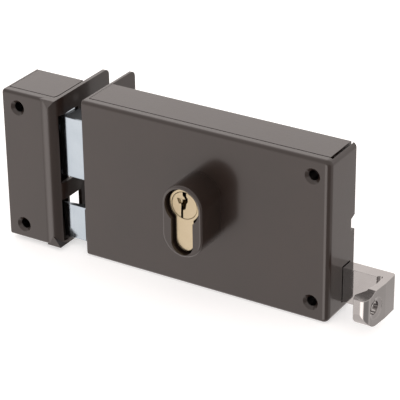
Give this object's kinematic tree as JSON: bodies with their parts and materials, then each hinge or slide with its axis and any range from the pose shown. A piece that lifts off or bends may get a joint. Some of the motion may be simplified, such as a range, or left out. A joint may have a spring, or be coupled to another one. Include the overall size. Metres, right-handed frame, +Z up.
{
  "type": "rim box lock",
  "caption": "Surface-mounted rim lock with a deadbolt, a sprung latch drawn back by a hooked finger pull, a profile key cylinder in a raised oval collar, and a matching strike box.",
  "frame": {"origin": "on the door face, straight below the cylinder's axis, level with the latch's centre line", "axes": "+X runs along the lock away from the door's edge, towards the pull; +Y into the door; +Z up"},
  "size_m": [0.2106, 0.0828, 0.0865],
  "materials": {
    "brown_paint": "smooth dark brown stove enamel",
    "polished_nickel": "polished nickel plate over a zinc casting",
    "zinc_steel": "bright zinc plate over drawn steel",
    "plain_steel": "turned steel",
    "dark_steel": "phosphated steel tube",
    "brass": "turned brass",
    "spring_steel": "drawn spring wire",
    "sintered_steel": "sintered steel"
  },
  "bodies": {
    "case": {"case_cover": "brown_paint", "case_base": "brown_paint", "case_pillars": "zinc_steel", "case_pillar_screws": "plain_steel", "case_screw_tubes": "dark_steel", "cylinder_collar": "brown_paint", "collar_screws": "plain_steel", "cylinder_body": "brass", "driver_pins": "brass", "pin_springs": "spring_steel", "chamber_caps": "brass", "outer_plug": "brass", "outer_plug_clip": "spring_steel", "outer_key_pins": "brass", "retaining_screw": "plain_steel", "tail_studs": "zinc_steel", "brake_spring": "spring_steel", "latch_stud": "zinc_steel", "lever_stud": "zinc_steel", "spring_stop": "zinc_steel", "latch_spring": "spring_steel"},
    "plug": {"inner_plug": "brass", "inner_plug_clip": "spring_steel", "inner_key_pins": "brass", "cam": "sintered_steel"},
    "deadbolt": {"deadbolt_head": "zinc_steel", "deadbolt_tail": "zinc_steel", "deadbolt_rivets": "plain_steel"},
    "latch": {"latch_head": "zinc_steel", "slide_bar": "zinc_steel", "latch_rivets": "plain_steel", "lever_pin": "plain_steel", "pull_handle": "polished_nickel", "pull_rivets": "plain_steel"},
    "lever": {"latch_lever": "zinc_steel"},
    "strike": {"strike_cover": "brown_paint", "strike_base": "brown_paint", "strike_pillars": "zinc_steel", "strike_pillar_screws": "plain_steel", "strike_screw_tubes": "dark_steel"}
  },
  "joints": [
    {"name": "plug_turn", "type": "hinge", "parent": "case", "child": "plug", "pos_m": [0, -0.011, 0.0378], "axis": [0, 1, 0], "range_deg": [0, 720]},
    {"name": "deadbolt_throw", "type": "slide", "parent": "case", "child": "deadbolt", "axis": [1, 0, 0], "range_m": [0, 0.017]},
    {"name": "latch_slide", "type": "slide", "parent": "case", "child": "latch", "axis": [1, 0, 0], "range_m": [0, 0.016], "stiffness_N_per_m": 300, "springref_m": -0.01, "deforming": ["latch_spring"]},
    {"name": "lever_swing", "type": "hinge", "parent": "case", "child": "lever", "pos_m": [0.032, -0.01145, 0.024], "axis": [0, -1, 0], "range_deg": [0, 39.2]},
    {"name": "strike_setting", "type": "slide", "parent": "case", "child": "strike", "axis": [1, 0, 0], "range_m": [0, 0.0115]}
  ],
  "couplings": [
    {"joint": "plug_turn", "follows": "deadbolt_throw", "rad_per_m": 739},
    {"joint": "lever_swing", "follows": "latch_slide", "rad_per_m": 42.7}
  ]
}
